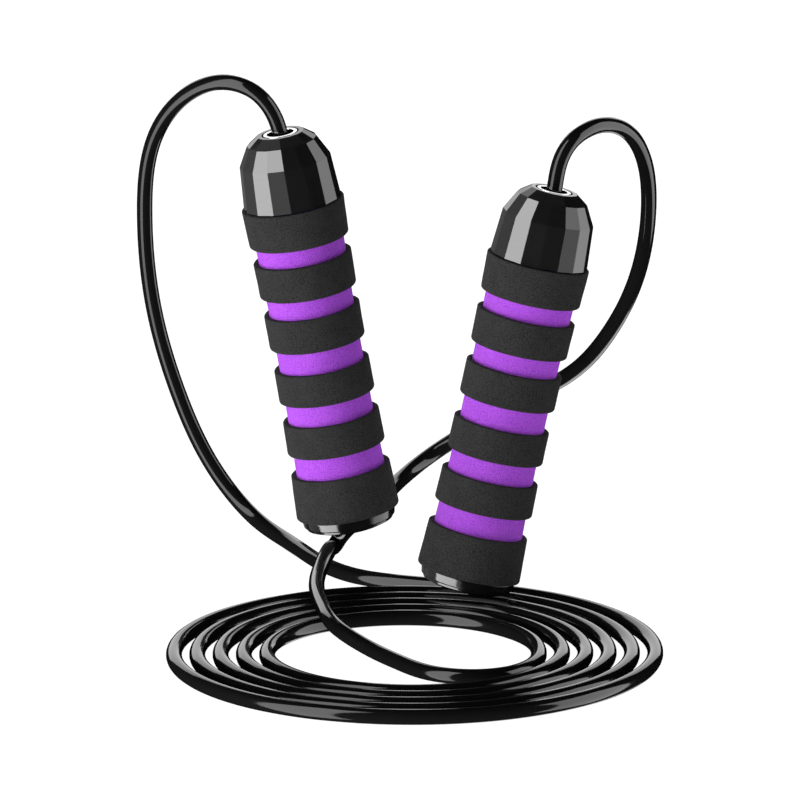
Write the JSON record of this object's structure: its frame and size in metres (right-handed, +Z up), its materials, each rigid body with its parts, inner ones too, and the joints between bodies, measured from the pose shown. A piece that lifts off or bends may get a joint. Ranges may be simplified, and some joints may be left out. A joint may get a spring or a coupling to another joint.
{
  "type": "jump rope",
  "caption": "Jump rope with a spiral-wound PVC rope and waisted foam-grip handles that turn on ball bearings round the rope's ends.",
  "frame": {"origin": "on the floor, on the coil's underside, under the middle of its turns at the back of the coil", "axes": "+Z up, +Y to the back (from the coil's centre towards the handles), +X to the right seen from the front"},
  "size_m": [0.1979, 0.3594, 0.1838],
  "materials": {
    "rope_pvc": "gloss",
    "black_foam": "matte",
    "purple_foam": "matte",
    "nose_plastic": "gloss",
    "cap_plastic": "gloss",
    "core_plastic": "matte",
    "chrome": "polished",
    "bearing_steel": "satin",
    "brass": "satin"
  },
  "bodies": {
    "rope": {"rope_coil": "rope_pvc", "rope_left_run": "rope_pvc", "rope_right_run": "rope_pvc", "left_bearing_inner_race": "bearing_steel", "left_rope_bush": "brass", "left_stop_washer": "bearing_steel", "left_rope_stop": "bearing_steel", "left_stop_screw": "bearing_steel", "right_bearing_inner_race": "bearing_steel", "right_rope_bush": "brass", "right_stop_washer": "bearing_steel", "right_rope_stop": "bearing_steel", "right_stop_screw": "bearing_steel"},
    "left_handle": {"left_grip_core": "core_plastic", "left_foam_sleeve": "purple_foam", "left_foam_band_1": "black_foam", "left_foam_band_2": "black_foam", "left_foam_band_3": "black_foam", "left_foam_band_4": "black_foam", "left_foam_band_5": "black_foam", "left_foam_band_6": "black_foam", "left_bearing_outer_race": "bearing_steel", "left_bearing_upper_shield": "bearing_steel", "left_bearing_lower_shield": "bearing_steel", "left_end_cap": "cap_plastic"},
    "left_nose": {"left_nose_cap": "nose_plastic", "left_mouth_eyelet": "chrome"},
    "left_ball_train": {"left_ball_cage": "brass", "left_bearing_ball_1": "bearing_steel", "left_bearing_ball_2": "bearing_steel", "left_bearing_ball_3": "bearing_steel", "left_bearing_ball_4": "bearing_steel", "left_bearing_ball_5": "bearing_steel", "left_bearing_ball_6": "bearing_steel", "left_bearing_ball_7": "bearing_steel"},
    "right_handle": {"right_grip_core": "core_plastic", "right_foam_sleeve": "purple_foam", "right_foam_band_1": "black_foam", "right_foam_band_2": "black_foam", "right_foam_band_3": "black_foam", "right_foam_band_4": "black_foam", "right_foam_band_5": "black_foam", "right_foam_band_6": "black_foam", "right_bearing_outer_race": "bearing_steel", "right_bearing_upper_shield": "bearing_steel", "right_bearing_lower_shield": "bearing_steel", "right_end_cap": "cap_plastic"},
    "right_nose": {"right_nose_cap": "nose_plastic", "right_mouth_eyelet": "chrome"},
    "right_ball_train": {"right_ball_cage": "brass", "right_bearing_ball_1": "bearing_steel", "right_bearing_ball_2": "bearing_steel", "right_bearing_ball_3": "bearing_steel", "right_bearing_ball_4": "bearing_steel", "right_bearing_ball_5": "bearing_steel", "right_bearing_ball_6": "bearing_steel", "right_bearing_ball_7": "bearing_steel"}
  },
  "joints": [
    {"name": "left_handle_spin", "type": "hinge", "parent": "rope", "child": "left_handle", "pos_m": [-0.022, 0.0951, 0.0086], "axis": [-0.1706, -0.0024, 0.9853], "continuous": true},
    {"name": "left_nose_unscrew", "type": "slide", "parent": "left_handle", "child": "left_nose", "axis": [-0.1706, -0.0024, 0.9853], "range_m": [0, 0.004]},
    {"name": "left_ball_train_spin", "type": "hinge", "parent": "rope", "child": "left_ball_train", "pos_m": [-0.022, 0.0951, 0.0086], "axis": [-0.1706, -0.0024, 0.9853], "continuous": true},
    {"name": "right_handle_spin", "type": "hinge", "parent": "rope", "child": "right_handle", "pos_m": [0.0212, 0.0032, 0.0092], "axis": [0.2145, 0.0617, 0.9748], "continuous": true},
    {"name": "right_nose_unscrew", "type": "slide", "parent": "right_handle", "child": "right_nose", "axis": [0.2145, 0.0617, 0.9748], "range_m": [0, 0.004]},
    {"name": "right_ball_train_spin", "type": "hinge", "parent": "rope", "child": "right_ball_train", "pos_m": [0.0212, 0.0032, 0.0092], "axis": [0.2145, 0.0617, 0.9748], "continuous": true}
  ],
  "couplings": [
    {"joint": "left_ball_train_spin", "follows": "left_handle_spin", "ratio": 0.632},
    {"joint": "right_ball_train_spin", "follows": "right_handle_spin", "ratio": 0.632}
  ]
}
